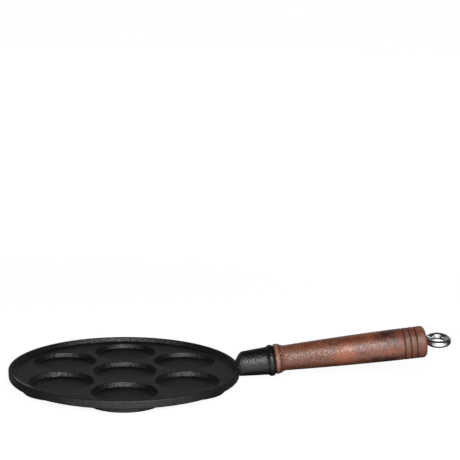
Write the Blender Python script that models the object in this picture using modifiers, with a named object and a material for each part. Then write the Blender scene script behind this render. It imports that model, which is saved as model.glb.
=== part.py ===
"""Plett pan: a cast-iron pan with seven shallow wells, a turned wooden handle and a long steel eye rod.

The origin is the middle of the pan, on the surface that it stands on. +Z is up, and the handle runs out
along +X and rises gently. Lengths are in metres and angles in radians.

The iron is one casting: the plate, its rim, the cups under the wells and the handle's socket. The wooden
handle sits with a tenon in the socket. The rod runs through the handle, screws into the socket and holds
the handle with its eye, by which the pan is hung up.
"""
import math

import bmesh
import bpy

# Wells and plate
WELL_RADIUS = 0.0317
WELL_DEPTH = 0.0050
WELL_LEAN = 0.0020
WELL_LIP_ROUND = 0.0007
WELL_FLOOR_ROUND = 0.0014
WELL_LAND = 0.0074
OUTER_LAND = 0.0071
FLOOR_THICKNESS = 0.0042
PLATE_THICKNESS = 0.0034
OUTER_WELLS = 6

# Rim, from the foot of its inner wall outwards
RIM_HEIGHT = 0.0046
RIM_LEAN = 0.0021
RIM_THICKNESS = 0.0033
RIM_FOOT_ROUND = 0.0014
RIM_TOP_ROUND = 0.0008
RIM_EDGE_ROUND = 0.0013
SKIRT_LEAN = 0.0003
SKIRT_FOOT_ROUND = 0.0010

# Cups that carry the wells' floors
CUP_WALL = 0.0073
CUP_DRAFT = 0.0010
CUP_FOOT_ROUND = 0.0010

# Line of the handle: lengths along it count from the rim's outer edge
HANDLE_SLOPE = math.radians(6.83)
HANDLE_ABOVE_RIM = 0.0026

# Cast socket
SOCKET_LENGTH = 0.03515
SOCKET_DROP = 0.00095
SOCKET_ROOT_RADIUS = 0.0122
SOCKET_NECK_RADIUS = 0.0141
SOCKET_BEAD_RADIUS = 0.0158
SOCKET_BEAD_LENGTH = 0.0068
SOCKET_BEAD_SHOULDER = 0.0019
SOCKET_BEAD_ROUND = 0.0014
SOCKET_MOUTH_RADIUS = 0.0146
SOCKET_MOUTH_ROUND = 0.0004
SOCKET_TAIL_LENGTH = 0.0140
SOCKET_TAIL_RADIUS = 0.0060
SOCKET_TAIL_ROUND = 0.0020
TOE_SLOPE = math.radians(66.0)
TOE_REACH = 0.0014

# Wooden handle
HANDLE_LENGTH = 0.15480
HANDLE_END_RADIUS = 0.0161
HANDLE_NECK_RADIUS = 0.0127
HANDLE_END_ROUND = 0.0034
HANDLE_BEAD_RADIUS = 0.0152
HANDLE_BEAD_LENGTH = 0.0050
HANDLE_BEAD_FRONT_ROUND = 0.0016
HANDLE_BEAD_BACK_ROUND = 0.0022
HANDLE_COVE_LENGTH = 0.0042
HANDLE_NECK_LENGTH = 0.0014
SWELL_POWER = 1.8
SWELL_POINTS = 12
GROOVES = 3
GROOVE_PITCH = 0.0062
GROOVE_WIDTH = 0.0018
GROOVE_DEPTH = 0.0008
END_BAND = 0.0106
TENON_RADIUS = 0.0090
TENON_LENGTH = 0.0117
TENON_ROUND = 0.0008

# Eye rod
ROD_RADIUS = 0.0030
THREAD_PITCH = 0.0010
THREAD_LENGTH = 0.0120
THREAD_RUNOUT = 0.0010
THREAD_FILL = 0.42
THREAD_SINK = 1.3
EYE_WIRE_RADIUS = 0.0034
EYE_RADIUS = 0.01015
EYE_ROLL = math.radians(11.4)
EYE_DROOP = math.radians(3.6)

# Clearances
JOINT_GAP = 0.0003
BORE_CLEARANCE = 0.0005
THREAD_CLEARANCE = 0.0003
HOLE_SPARE = 0.0005
DRILL_POINT = math.radians(31.0)

# Fineness of the round shapes
PAN_STEPS = 96
WELL_STEPS = 36
HANDLE_STEPS = 32
ROD_STEPS = 20
EYE_STEPS = 36
WIRE_STEPS = 12
THREAD_STEPS = 10
ARC_STEP = math.radians(46.0)
SHARP_ANGLE = math.radians(35.0)
WELD = 0.00001
CUTTER_SPARE = 0.0100

# Worked out from the sizes above
WELL_PITCH = 2 * WELL_RADIUS + WELL_LAND
PLATE_TOP = FLOOR_THICKNESS + WELL_DEPTH
PLATE_UNDERSIDE = PLATE_TOP - PLATE_THICKNESS
RIM_TOP = PLATE_TOP + RIM_HEIGHT
WALL_FOOT_RADIUS = WELL_PITCH + WELL_RADIUS + OUTER_LAND
WALL_TOP_RADIUS = WALL_FOOT_RADIUS + RIM_LEAN
PAN_RADIUS = WALL_TOP_RADIUS + RIM_THICKNESS
SKIRT_FOOT_RADIUS = PAN_RADIUS - SKIRT_LEAN
CUP_FOOT_RADIUS = WELL_RADIUS - WELL_LEAN + CUP_WALL
CUP_ROOT_RADIUS = CUP_FOOT_RADIUS + CUP_DRAFT
HANDLE_START = SOCKET_LENGTH + JOINT_GAP
HANDLE_END = HANDLE_START + HANDLE_LENGTH
NECK_START = HANDLE_START + HANDLE_BEAD_LENGTH + HANDLE_COVE_LENGTH
NECK_END = NECK_START + HANDLE_NECK_LENGTH
TENON_END = HANDLE_START - TENON_LENGTH
RECESS_FLOOR = TENON_END - JOINT_GAP
EYE_ROOT = HANDLE_END + JOINT_GAP + EYE_WIRE_RADIUS
THREAD_TOP = RECESS_FLOOR - THREAD_PITCH
ROD_TIP = THREAD_TOP - THREAD_LENGTH

IRON = {"color": (0.022, 0.022, 0.023, 1.0), "roughness": 0.55, "metallic": 0.35}
WALNUT = {"color": (0.170, 0.062, 0.040, 1.0), "roughness": 0.50, "metallic": 0.0}
STEEL = {"color": (0.62, 0.63, 0.65, 1.0), "roughness": 0.16, "metallic": 1.0}


def clear_scene():
    """Removes whatever the scene holds before the pan is built."""
    for old in list(bpy.data.objects):
        bpy.data.objects.remove(old, do_unlink=True)
    for old in list(bpy.data.collections):
        bpy.data.collections.remove(old)


def new_collection(name):
    """A collection in the scene."""
    collection = bpy.data.collections.new(name)
    bpy.context.scene.collection.children.link(collection)
    return collection


def adopt(obj, collection):
    """Moves an object into one collection alone."""
    for holder in list(obj.users_collection):
        holder.objects.unlink(obj)
    collection.objects.link(obj)
    return obj


def as_cutter(obj, collection):
    """Keeps a shape that only cuts or joins out of the finished model."""
    adopt(obj, collection)
    obj.hide_render = True
    obj.display_type = "WIRE"
    return obj


def material(name, look):
    """A Principled material in one colour."""
    made = bpy.data.materials.new(name)
    made.use_nodes = True
    shader = made.node_tree.nodes["Principled BSDF"]
    shader.inputs["Base Color"].default_value = look["color"]
    shader.inputs["Roughness"].default_value = look["roughness"]
    shader.inputs["Metallic"].default_value = look["metallic"]
    return made


def rounded(corners):
    """Rounds the corners of an outline: each is (distance from the axis, height, setback of its arc)."""
    points = []
    for index, (x, z, setback) in enumerate(corners):
        if setback <= 0.0:
            points.append((x, z))
            continue
        before = corners[index - 1]
        after = corners[index + 1]
        back = (before[0] - x, before[1] - z)
        ahead = (after[0] - x, after[1] - z)
        back_length = math.hypot(*back)
        ahead_length = math.hypot(*ahead)
        # Two roundings on one side share its length.
        reach = min(setback, back_length * setback / (setback + before[2]),
                    ahead_length * setback / (setback + after[2]))
        back = (back[0] / back_length, back[1] / back_length)
        ahead = (ahead[0] / ahead_length, ahead[1] / ahead_length)
        half = math.acos(back[0] * ahead[0] + back[1] * ahead[1]) / 2
        middle = (back[0] + ahead[0], back[1] + ahead[1])
        scale = reach / math.cos(half) / math.hypot(*middle)
        centre = (x + middle[0] * scale, z + middle[1] * scale)
        start = (x + back[0] * reach - centre[0], z + back[1] * reach - centre[1])
        turn = math.copysign(math.pi - 2 * half, back[1] * ahead[0] - back[0] * ahead[1])
        pieces = max(1, math.ceil(abs(turn) / ARC_STEP))
        for piece in range(pieces + 1):
            cosine = math.cos(turn * piece / pieces)
            sine = math.sin(turn * piece / pieces)
            points.append((centre[0] + start[0] * cosine - start[1] * sine,
                           centre[1] + start[0] * sine + start[1] * cosine))
    kept = points[:1]
    for point in points[1:]:
        if math.dist(point, kept[-1]) > WELD:
            kept.append(point)
    return kept


def turned(name, points, steps, closed=False):
    """A shape turned about its own Z axis from an outline that runs down its outer side."""
    mesh = bpy.data.meshes.new(name)
    outline = bmesh.new()
    corners = [outline.verts.new((x, 0.0, z)) for x, z in points]
    for first, second in zip(corners, corners[1:]):
        outline.edges.new((first, second))
    if closed:
        outline.edges.new((corners[-1], corners[0]))
    outline.to_mesh(mesh)
    outline.free()
    obj = bpy.data.objects.new(name, mesh)
    lathe = obj.modifiers.new("lathe", "SCREW")
    lathe.axis = "Z"
    lathe.steps = steps
    lathe.render_steps = steps
    lathe.use_merge_vertices = True
    lathe.merge_threshold = WELD
    lathe.use_smooth_shade = True
    return obj


def boolean(target, name, operation, tool):
    """Joins another object, or all objects of a collection, to the target, or cuts them out of it."""
    modifier = target.modifiers.new(name, "BOOLEAN")
    modifier.operation = operation
    modifier.solver = "EXACT"
    if isinstance(tool, bpy.types.Collection):
        modifier.operand_type = "COLLECTION"
        modifier.collection = tool
    else:
        modifier.object = tool
    return modifier


def smooth_by_angle_nodes():
    """Geometry nodes that keep the sharp edges sharp and shade the rest smooth."""
    group = bpy.data.node_groups.new("smooth_by_angle", "GeometryNodeTree")
    group.interface.new_socket("Geometry", in_out="INPUT", socket_type="NodeSocketGeometry")
    group.interface.new_socket("Geometry", in_out="OUTPUT", socket_type="NodeSocketGeometry")
    start = group.nodes.new("NodeGroupInput")
    end = group.nodes.new("NodeGroupOutput")
    faces = group.nodes.new("GeometryNodeSetShadeSmooth")
    edges = group.nodes.new("GeometryNodeSetShadeSmooth")
    edges.domain = "EDGE"
    angle = group.nodes.new("GeometryNodeInputMeshEdgeAngle")
    gentle = group.nodes.new("FunctionNodeCompare")
    gentle.operation = "LESS_THAN"
    gentle.inputs["B"].default_value = SHARP_ANGLE
    group.links.new(start.outputs["Geometry"], faces.inputs["Geometry"])
    group.links.new(faces.outputs["Geometry"], edges.inputs["Geometry"])
    group.links.new(angle.outputs["Unsigned Angle"], gentle.inputs["A"])
    group.links.new(gentle.outputs["Result"], edges.inputs["Shade Smooth"])
    group.links.new(edges.outputs["Geometry"], end.inputs["Geometry"])
    return group


def well_places():
    """Centres of the wells: one in the middle and the others in a ring, none of them in line with the handle."""
    places = [(0.0, 0.0)]
    for number in range(OUTER_WELLS):
        angle = (number + 0.5) * 2 * math.pi / OUTER_WELLS
        places.append((WELL_PITCH * math.cos(angle), WELL_PITCH * math.sin(angle)))
    return places


def make_cups(cutters):
    """The cups under the wells: short feet with a little draft, whose tops end inside the plate."""
    group = bpy.data.collections.new("cups")
    cutters.children.link(group)
    top = (PLATE_UNDERSIDE + PLATE_TOP) / 2
    corners = [(0.0, top, 0.0), (CUP_ROOT_RADIUS, top, 0.0), (CUP_ROOT_RADIUS, PLATE_UNDERSIDE, 0.0),
               (CUP_FOOT_RADIUS, 0.0, CUP_FOOT_ROUND), (0.0, 0.0, 0.0)]
    for number, (x, y) in enumerate(well_places()):
        cup = as_cutter(turned("cup_%d" % number, rounded(corners), WELL_STEPS), group)
        cup.location = (x, y, 0.0)
    return group


def make_wells(cutters):
    """The wells' hollows, with a rounded lip, a leaning wall and a rounded foot."""
    group = bpy.data.collections.new("wells")
    cutters.children.link(group)
    top = PLATE_TOP + CUTTER_SPARE
    lip_radius = WELL_RADIUS + WELL_LIP_ROUND
    corners = [(0.0, top, 0.0), (lip_radius, top, 0.0), (lip_radius, PLATE_TOP, 0.0),
               (WELL_RADIUS, PLATE_TOP, WELL_LIP_ROUND),
               (WELL_RADIUS - WELL_LEAN, FLOOR_THICKNESS, WELL_FLOOR_ROUND), (0.0, FLOOR_THICKNESS, 0.0)]
    for number, (x, y) in enumerate(well_places()):
        well = as_cutter(turned("well_%d" % number, rounded(corners), WELL_STEPS), group)
        well.location = (x, y, 0.0)
    return group


def make_cavity(cutters):
    """The hollow inside the rim, cut flat where the socket's toe rises from it."""
    top = RIM_TOP + 3 * CUTTER_SPARE
    land_edge = WALL_TOP_RADIUS + RIM_TOP_ROUND
    corners = [(0.0, top, 0.0), (land_edge + 2 * CUTTER_SPARE, top, 0.0), (land_edge, RIM_TOP, 0.0),
               (WALL_TOP_RADIUS, RIM_TOP, RIM_TOP_ROUND),
               (WALL_FOOT_RADIUS, PLATE_TOP, RIM_FOOT_ROUND), (0.0, PLATE_TOP, 0.0)]
    cavity = as_cutter(turned("cavity", rounded(corners), PAN_STEPS), cutters)
    side = 12 * CUTTER_SPARE
    bpy.ops.mesh.primitive_cube_add(size=side)
    block = as_cutter(bpy.context.object, cutters)
    block.name = "toe_block"
    inward = (-math.sin(TOE_SLOPE), math.cos(TOE_SLOPE))
    block.location = (WALL_TOP_RADIUS - TOE_REACH - inward[0] * side / 2, 0.0, RIM_TOP - inward[1] * side / 2)
    block.rotation_euler = (0.0, math.pi / 2 - TOE_SLOPE, 0.0)
    boolean(cavity, "toe", "DIFFERENCE", block)
    return cavity


def make_socket(cutters, line):
    """The solid of the handle's socket: a tapered tail in the plate, a swelling cone and a bead at the mouth."""
    bead_start = SOCKET_LENGTH - SOCKET_BEAD_LENGTH
    corners = [(0.0, SOCKET_LENGTH, 0.0), (SOCKET_MOUTH_RADIUS, SOCKET_LENGTH, SOCKET_MOUTH_ROUND),
               (SOCKET_BEAD_RADIUS, SOCKET_LENGTH - SOCKET_BEAD_SHOULDER, SOCKET_BEAD_ROUND),
               (SOCKET_BEAD_RADIUS, bead_start + SOCKET_BEAD_SHOULDER, SOCKET_BEAD_ROUND),
               (SOCKET_NECK_RADIUS, bead_start, SOCKET_BEAD_ROUND), (SOCKET_ROOT_RADIUS, 0.0, 0.0),
               (SOCKET_TAIL_RADIUS, -SOCKET_TAIL_LENGTH, SOCKET_TAIL_ROUND), (0.0, -SOCKET_TAIL_LENGTH, 0.0)]
    socket = as_cutter(turned("socket", rounded(corners), HANDLE_STEPS), cutters)
    socket.parent = line
    socket.location = (SOCKET_DROP, 0.0, 0.0)
    return socket


def make_socket_hole(cutters, line):
    """The recess for the handle's tenon and, beyond it, the drilled hole for the rod's threaded end."""
    hole_radius = ROD_RADIUS + THREAD_CLEARANCE
    recess_radius = TENON_RADIUS + JOINT_GAP
    hole_floor = ROD_TIP - HOLE_SPARE
    points = [(0.0, SOCKET_LENGTH + CUTTER_SPARE), (recess_radius, SOCKET_LENGTH + CUTTER_SPARE),
              (recess_radius, RECESS_FLOOR), (hole_radius, RECESS_FLOOR), (hole_radius, hole_floor),
              (0.0, hole_floor - hole_radius * math.tan(DRILL_POINT))]
    hole = as_cutter(turned("socket_hole", points, HANDLE_STEPS), cutters)
    hole.parent = line
    return hole


def make_pan_casting(parts, cutters, line):
    """The iron casting: a disc with its rim and skirt, the cups and the socket, then all its hollows."""
    corners = [(0.0, RIM_TOP, 0.0), (PAN_RADIUS, RIM_TOP, RIM_EDGE_ROUND),
               (SKIRT_FOOT_RADIUS, PLATE_UNDERSIDE, SKIRT_FOOT_ROUND), (0.0, PLATE_UNDERSIDE, 0.0)]
    casting = adopt(turned("pan_casting", rounded(corners), PAN_STEPS), parts)
    boolean(casting, "add_cups", "UNION", make_cups(cutters))
    boolean(casting, "add_socket", "UNION", make_socket(cutters, line))
    boolean(casting, "cut_cavity", "DIFFERENCE", make_cavity(cutters))
    boolean(casting, "cut_wells", "DIFFERENCE", make_wells(cutters))
    boolean(casting, "cut_socket_hole", "DIFFERENCE", make_socket_hole(cutters, line))
    casting.data.materials.append(material("seasoned_iron", IRON))
    return casting


def handle_radius(length):
    """Radius of the handle's grip at a length along its line: it swells quickly first, then slowly."""
    share = (length - NECK_END) / (HANDLE_END - NECK_END)
    return HANDLE_NECK_RADIUS + (HANDLE_END_RADIUS - HANDLE_NECK_RADIUS) * (1.0 - (1.0 - share) ** SWELL_POWER)


def make_wooden_handle(parts, line):
    """The turned handle with its bore: rounded end, three grooves, swelling grip, cove, bead and tenon."""
    bore = ROD_RADIUS + BORE_CLEARANCE
    corners = [(bore, HANDLE_END, 0.0), (HANDLE_END_RADIUS, HANDLE_END, HANDLE_END_ROUND)]
    for number in range(GROOVES):
        middle = HANDLE_END - END_BAND - number * GROOVE_PITCH
        corners.append((handle_radius(middle), middle + GROOVE_WIDTH / 2, 0.0))
        corners.append((handle_radius(middle) - GROOVE_DEPTH, middle, 0.0))
        corners.append((handle_radius(middle), middle - GROOVE_WIDTH / 2, 0.0))
    swell_end = HANDLE_END - END_BAND - GROOVES * GROOVE_PITCH
    for number in range(SWELL_POINTS):
        length = swell_end + (NECK_END - swell_end) * number / SWELL_POINTS
        corners.append((handle_radius(length), length, 0.0))
    corners += [(HANDLE_NECK_RADIUS, NECK_END, 0.0), (HANDLE_NECK_RADIUS, NECK_START, HANDLE_NECK_LENGTH),
                (HANDLE_BEAD_RADIUS, HANDLE_START + HANDLE_BEAD_LENGTH, HANDLE_BEAD_BACK_ROUND),
                (HANDLE_BEAD_RADIUS, HANDLE_START, HANDLE_BEAD_FRONT_ROUND),
                (TENON_RADIUS, HANDLE_START, 0.0), (TENON_RADIUS, TENON_END, TENON_ROUND),
                (bore, TENON_END, 0.0)]
    handle = adopt(turned("wooden_handle", rounded(corners), HANDLE_STEPS, closed=True), parts)
    handle.parent = line
    handle.data.materials.append(material("walnut", WALNUT))
    return handle


def make_thread(cutters, line):
    """The ridge of the rod's screw thread, a helix of square section standing on its corner."""
    ridge = THREAD_FILL * THREAD_PITCH
    turns = (THREAD_LENGTH - 2 * THREAD_RUNOUT) / THREAD_PITCH
    count = int(turns * THREAD_STEPS)
    curve = bpy.data.curves.new("thread_line", "CURVE")
    curve.dimensions = "3D"
    curve.bevel_depth = ridge
    curve.bevel_resolution = 0
    curve.use_fill_caps = True
    spline = curve.splines.new("POLY")
    spline.points.add(count)
    for number, point in enumerate(spline.points):
        angle = number * 2 * math.pi / THREAD_STEPS
        height = ROD_TIP + THREAD_RUNOUT + THREAD_PITCH * number / THREAD_STEPS
        point.co = ((ROD_RADIUS - ridge) * math.cos(angle), (ROD_RADIUS - ridge) * math.sin(angle), height, 1.0)
    wire = adopt(bpy.data.objects.new("thread_line", curve), cutters)
    wire.parent = line
    bpy.context.view_layer.update()
    mesh = bpy.data.meshes.new_from_object(wire.evaluated_get(bpy.context.evaluated_depsgraph_get()))
    shape = bmesh.new()
    shape.from_mesh(mesh)
    bmesh.ops.remove_doubles(shape, verts=shape.verts, dist=WELD)
    shape.to_mesh(mesh)
    shape.free()
    thread = as_cutter(bpy.data.objects.new("thread", mesh), cutters)
    thread.matrix_world = wire.matrix_world
    bpy.data.objects.remove(wire, do_unlink=True)
    return thread


def make_eye_rod(parts, cutters, line):
    """The steel rod: a threaded tip, a plain shank through the handle, and the closed eye, which droops a little."""
    core = ROD_RADIUS - THREAD_SINK * THREAD_FILL * THREAD_PITCH
    corners = [(0.0, EYE_ROOT, 0.0), (ROD_RADIUS, EYE_ROOT, 0.0), (ROD_RADIUS, THREAD_TOP, 0.0),
               (core, THREAD_TOP - THREAD_PITCH / 2, 0.0),
               (core, ROD_TIP, THREAD_PITCH / 2), (0.0, ROD_TIP, 0.0)]
    rod = adopt(turned("eye_rod", rounded(corners), ROD_STEPS), parts)
    rod.parent = line
    bpy.ops.mesh.primitive_torus_add(major_radius=EYE_RADIUS, minor_radius=EYE_WIRE_RADIUS,
                                     major_segments=EYE_STEPS, minor_segments=WIRE_STEPS)
    eye = as_cutter(bpy.context.object, cutters)
    eye.name = "eye"
    eye.data.shade_smooth()
    eye.parent = line
    drop = EYE_RADIUS * math.sin(EYE_DROOP)
    eye.location = (drop * math.cos(EYE_ROLL), drop * math.sin(EYE_ROLL), EYE_ROOT + EYE_RADIUS * math.cos(EYE_DROOP))
    eye.rotation_euler = (0.0, math.pi / 2 + EYE_DROOP, EYE_ROLL)
    boolean(rod, "add_eye", "UNION", eye)
    boolean(rod, "add_thread", "UNION", make_thread(cutters, line))
    rod.data.materials.append(material("bright_steel", STEEL))
    return rod


def build():
    """Builds the three pieces and shades them."""
    clear_scene()
    parts = new_collection("plett_pan")
    cutters = new_collection("plett_pan_cutters")
    line = adopt(bpy.data.objects.new("handle_line", None), parts)
    line.location = (PAN_RADIUS, 0.0, RIM_TOP + HANDLE_ABOVE_RIM)
    line.rotation_euler = (0.0, math.pi / 2 - HANDLE_SLOPE, 0.0)
    pieces = [make_pan_casting(parts, cutters, line), make_wooden_handle(parts, line),
              make_eye_rod(parts, cutters, line)]
    shading = smooth_by_angle_nodes()
    for piece in pieces:
        piece.modifiers.new("smooth_by_angle", "NODES").node_group = shading


build()
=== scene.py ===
"""Plett pan: a black cast-iron pan with seven shallow wells, a turned walnut handle and a steel hanging eye.

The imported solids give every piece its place. The operators below model the pieces again as fine meshes, give
them their finishes and set up a plain white studio. Lengths are in metres and angles in radians.
"""

import math

import bpy
from bpy.props import FloatProperty, FloatVectorProperty, PointerProperty
from mathutils import Euler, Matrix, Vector


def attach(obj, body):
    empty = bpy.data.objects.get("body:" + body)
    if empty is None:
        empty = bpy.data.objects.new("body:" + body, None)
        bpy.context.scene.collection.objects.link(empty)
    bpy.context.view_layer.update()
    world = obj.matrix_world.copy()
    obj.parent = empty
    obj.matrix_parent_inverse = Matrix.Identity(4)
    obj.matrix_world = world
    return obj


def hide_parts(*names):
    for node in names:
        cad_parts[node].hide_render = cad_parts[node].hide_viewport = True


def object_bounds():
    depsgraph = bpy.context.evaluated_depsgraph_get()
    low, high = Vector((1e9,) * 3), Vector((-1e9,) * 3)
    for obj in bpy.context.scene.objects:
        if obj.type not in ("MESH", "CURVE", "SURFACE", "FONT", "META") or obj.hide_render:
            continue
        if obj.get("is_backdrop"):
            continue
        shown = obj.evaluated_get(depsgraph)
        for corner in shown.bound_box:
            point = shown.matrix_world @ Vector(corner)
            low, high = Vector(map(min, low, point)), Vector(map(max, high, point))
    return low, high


bl_info = {
    "name": "Plett pan",
    "version": (1, 0, 0),
    "blender": (4, 5, 0),
    "location": "View3D > Sidebar > Plett pan",
    "description": "Models a cast-iron plett pan, its turned handle, its hanging eye and a studio",
    "category": "Object",
}

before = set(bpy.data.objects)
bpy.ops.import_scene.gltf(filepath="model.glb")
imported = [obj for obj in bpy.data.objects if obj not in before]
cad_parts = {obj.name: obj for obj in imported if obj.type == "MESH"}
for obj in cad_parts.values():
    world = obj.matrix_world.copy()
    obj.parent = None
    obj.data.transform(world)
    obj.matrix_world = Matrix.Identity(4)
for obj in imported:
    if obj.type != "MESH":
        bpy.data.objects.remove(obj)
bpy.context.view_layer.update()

# Fineness of the round shapes
PAN_STEPS = 240
WELL_STEPS = 120
SOCKET_STEPS = 96
CONE_PARTS = 16
HANDLE_STEPS = 144
ROD_STEPS = 48
WIRE_STEPS = 40
EYE_STEPS = 108
THREAD_STEPS = 24
THREAD_SIDES = 4
ARC_STEP = math.radians(15.0)
SMOOTH_ANGLE = math.radians(32.0)
WELD = 0.00001
SPECK = 0.0001
TOOL_SPARE = 0.0100
# A tool's flat edge stands this far off the face that it leaves, so that no two faces share a plane.
FACE_SPARE = 0.00002
# Each copy of a cup or well is turned this much more than the one before, so that no two corners meet.
COPY_TURN = math.radians(0.8)

# Roundings of the casting, each the distance that an arc cuts off its corner
LIP_ROUND = 0.0008
WELL_FOOT_ROUND = 0.0014
RIM_FOOT_ROUND = 0.0014
RIM_TOP_ROUND = 0.0008
RIM_EDGE_ROUND = 0.0013
SKIRT_FOOT_ROUND = 0.0010
CUP_FOOT_ROUND = 0.0010
CUP_ROOT_ROUND = 0.0018
BEAD_ROUND = 0.0014
MOUTH_ROUND = 0.0004
TAIL_ROUND = 0.0020
NOSE_ROUND = 0.0013
NOSE_STEPS = 6
NOSE_SET_BACK = 0.00004

# Clearances inside the handle's joint
JOINT_GAP = 0.0003
BORE_CLEARANCE = 0.0005
THREAD_CLEARANCE = 0.0003
HOLE_SPARE = 0.0005
DRILL_POINT = math.radians(31.0)
OUTER_WELLS = 6

# Small forms of the handle
GROOVES = 3
SWELL_POWER = 1.8
SWELL_POINTS = 40
BEAD_FRONT_ROUND = 0.0016
BEAD_BACK_ROUND = 0.0019
GROOVE_EDGE_ROUND = 0.0003
TENON_ROUND = 0.0008
BORE_CHAMFER = 0.0004

# Small forms of the rod and its eye
THREAD_FILL = 0.42
THREAD_SINK = 1.3
THREAD_RUNOUT = 0.0010
EYE_FLARE = 0.0008
WIRE_START = math.radians(6.0)
WIRE_END_ROUND = 0.0005
WIRE_END_STEPS = 3

# The colour mix node's sockets: factor, first, second and result. Other kinds of value share their names.
MIX_INPUTS = (0, 6, 7)
MIX_RESULT = 2

# Patterns of the iron: grain, sand, swell and patches. Each has its scale, detail, roughness and distortion.
# The pairs below them are where a change in the pattern begins and ends, or the least and most of a value.
IRON_PATTERNS = ((1200.0, 2.0, 0.60), (500.0, 1.5, 0.55), (75.0, 3.0, 0.55), (26.0, 5.0, 0.60, 0.4))
IRON_TONES = (0.32, 0.68)
IRON_SHADES = (0.72, 1.30)
IRON_HAZE = (0.45, 0.85)
IRON_ROUGHNESS = (0.36, 0.48)
PIT_SCALE = 330.0
PIT_EDGE = (0.22, 0.05)
PIT_PLACES = (0.52, 0.60)

# Relief of the iron: depth and strength. The sand's strength is full inside the rim and less on the skirt.
SWELL_RELIEF = (0.0012, 0.60)
GRAIN_RELIEF = (0.00022, 0.60)
PIT_RELIEF = (0.00012, 0.50)
SAND_DEPTH = 0.0010
SKIRT_SAND = 0.55

# How much rougher than the plate the skirt is, and how much smoother the socket, which hands rub
SKIRT_ROUGHNESS = 1.28
SOCKET_ROUGHNESS = 0.58
SOCKET_FADE = 0.006

# Painted highlight: a light, less metallic line on the rim's inner edge, on the side away from the handle
RIM_HIGHLIGHT_WIDTH = 0.0009
RIM_HIGHLIGHT_FROM = math.radians(-156.0)
RIM_HIGHLIGHT_TO = math.radians(-143.0)
RIM_HIGHLIGHT_FADE = math.radians(6.0)
RIM_HIGHLIGHT_PLACES = (0.30, 0.50)
RIM_HIGHLIGHT_BRIGHTNESS = 10.0

# Patterns of the walnut: streaks, fibres, pores, curls and patches. Each has its stretch along the handle,
# across it and up, its scale, detail, roughness and distortion.
WOOD_PATTERNS = (((0.16, 1.0, 1.0), 240.0, 4.0, 0.60, 0.8), ((0.09, 1.0, 1.0), 1500.0, 3.0, 0.60),
                 ((0.14, 1.0, 1.0), 1100.0, 1.0, 0.50), ((1.0, 0.45, 0.45), 420.0, 3.0, 0.65, 1.2),
                 ((0.50, 1.0, 1.0), 70.0, 3.0, 0.60, 0.6))
LIGHT_TONES = (0.56, 0.78)
DARK_TONES = (0.56, 0.38)
PORE_EDGE = (0.60, 0.68)
STAIN_EDGE = (0.55, 1.65)
WOOD_HAZE = (0.35, 0.65)
WOOD_ROUGHNESS = (0.22, 0.36)
WOOD_GLOSS = 0.82
CURL_RELIEF = (0.0007, 0.75)
FIBRE_RELIEF = (0.00028, 0.80)
PORE_RELIEF = (0.00010, 0.60)

# Stains in the walnut: place along the handle, across it and above its line, size, and share of the stain
DARK_STAINS = ((0.150, -0.006, 0.0140, 0.0065, 0.85), (0.141, -0.009, 0.0115, 0.0045, 0.60),
               (0.156, -0.012, 0.0080, 0.0045, 0.50), (0.157, -0.015, 0.0020, 0.0030, 0.30),
               (0.138, -0.011, -0.0115, 0.0060, 0.70), (0.152, -0.010, -0.0125, 0.0075, 0.85),
               (0.163, -0.011, -0.0120, 0.0050, 0.60), (0.098, -0.003, 0.0140, 0.0100, 0.35),
               (0.147, -0.011, 0.0110, 0.0035, 0.60), (0.148, -0.0145, 0.0045, 0.0030, 0.30))
RED_STAINS = ((0.107, -0.0135, 0.0000, 0.0095, 0.75), (0.137, -0.010, 0.010, 0.0070, 0.25),
              (0.153, -0.0145, -0.0040, 0.0060, 0.40))

# Where the grip turns duller towards its end, along its line, and how much rougher it is there
DULL_FROM = 0.146
DULL_FULL = 0.164
DULL_SHARE = 1.60

# Curly figure of the walnut near the neck: how far it reaches along the handle, its pitch, slant and waver
FIGURE_FULL = 0.085
FIGURE_END = 0.130
FIGURE_PITCH = 0.0031
FIGURE_SLANT = 0.8
FIGURE_WANDER = 18.0
FIGURE_PATCHES = (0.42, 0.62)

# Lines round the wooden bead, from the handle's start: a painted highlight on its crest and painted shade in
# the hollow behind it
CREST_HIGHLIGHT_PLACE = 0.0026
CREST_HIGHLIGHT_WIDTH = 0.0034
HOLLOW_SHADE_PLACE = 0.0056
HOLLOW_SHADE_WIDTH = 0.0022

# Patterns, roughness and relief of the steel: haze and the marks of rubbing
STEEL_HAZE = (160.0, 4.0, 0.60)
STEEL_RUBS = ((0.2, 1.0, 1.0), 1800.0, 2.0, 0.55)
DULL_STEEL = 0.86
DULL_PLACES = (0.35, 0.70)
STEEL_ROUGHNESS = (0.35, 0.65, 0.16, 0.27)
STEEL_RELIEF = (0.0002, 0.10)

# Size of the floor and place of the key light
FLOOR_SIZE = 40.0
KEY_SIZE = (1.20, 0.95)
KEY_DISTANCE = 1.50
KEY_RISE = math.radians(28.0)
KEY_TURN = math.radians(8.0)
FLOOR_NEAR = 0.35
FLOOR_FAR = 1.30
WHITE = (1.0, 1.0, 1.0, 1.0)

# Parts of the studio that metal shows. Each pair is where a change of brightness begins and ends, as a share
# of the way that is looked along: the depths tell how far back, and the others how far up.
FRONT_DEPTHS = (-0.25, -0.65)
FRONT_HORIZON = (-0.10, 0.05)
FOOT_DEPTHS = (0.30, 0.80)
FOOT_HORIZON = (-0.10, 0.10)
FOOT_TOP = (0.45, 0.75)
BACK_DEPTHS = (0.35, 0.75)
BACK_NEAR = (-0.34, -0.24)
BACK_FAR = (-0.02, -0.08)
FILL_DEPTHS = (0.0, 0.7)


def length(name, description, default):
    """A length that the user can change."""
    return FloatProperty(name=name, description=description, default=default, min=0.0, precision=5,
                         unit="LENGTH")


def angle(name, description, default):
    """An angle that the user can change, given in degrees."""
    return FloatProperty(name=name, description=description, default=math.radians(default), unit="ROTATION")


def share(name, description, default, most=1.0):
    """A share from none to all, or a brightness, where one is white."""
    return FloatProperty(name=name, description=description, default=default, min=0.0, max=most,
                         subtype="FACTOR")


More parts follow.
